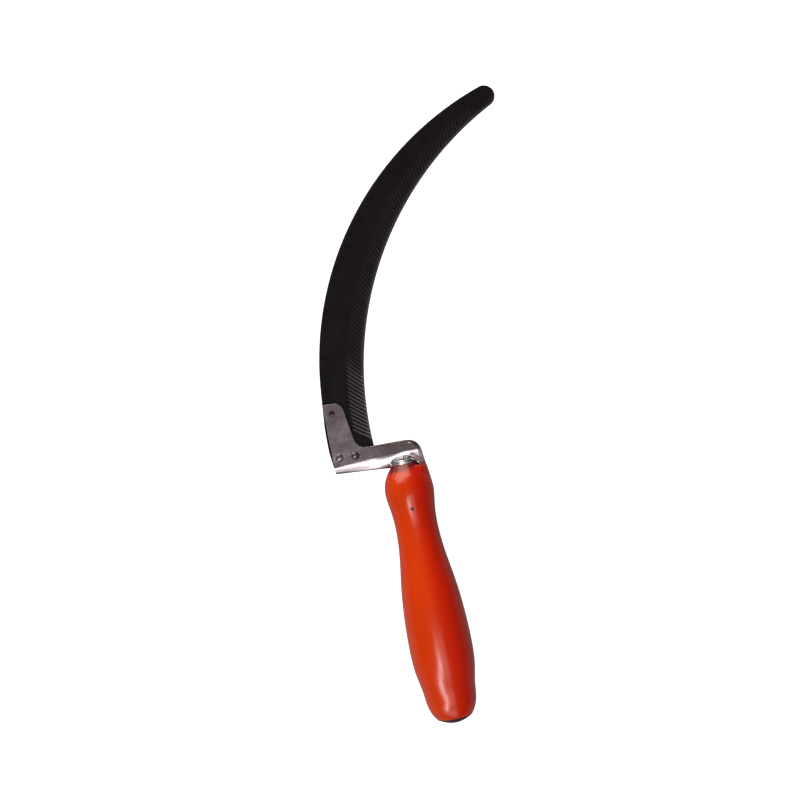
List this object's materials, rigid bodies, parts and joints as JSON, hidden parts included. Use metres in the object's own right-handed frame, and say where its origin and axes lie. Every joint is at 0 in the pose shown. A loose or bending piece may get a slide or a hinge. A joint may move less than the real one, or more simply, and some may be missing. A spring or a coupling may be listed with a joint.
{
  "type": "hand sickle",
  "caption": "Hand sickle: a curved saw-edged blade riveted in a folded sheet-steel holder with an offset neck, on a turned and painted wooden handle, for cutting grass and crops.",
  "frame": {"origin": "centre of the flat at the handle's butt end", "axes": "+Y along the handle from butt to blade, +X to the cutting side, +Z square to the blade, out of its toothed face"},
  "size_m": [0.1164, 0.3089, 0.0318],
  "materials": {
    "blade_steel": "black oxide and lacquer, low sheen",
    "plated_sheet": "plated sheet steel, satin to bright",
    "rivet_steel": "plated, hammered heads",
    "ferrule_steel": "mottled, partly welded",
    "raw_steel": "dull bare steel",
    "painted_wood": "glossy orange-red paint over turned hardwood"
  },
  "bodies": {
    "root": {"blade": "blade_steel", "holder": "plated_sheet", "rivet_top": "rivet_steel", "rivet_heel": "rivet_steel", "rivet_neck": "rivet_steel", "ferrule": "ferrule_steel", "tang": "raw_steel", "handle": "painted_wood", "handle_nail": "raw_steel"}
  },
  "joints": []
}
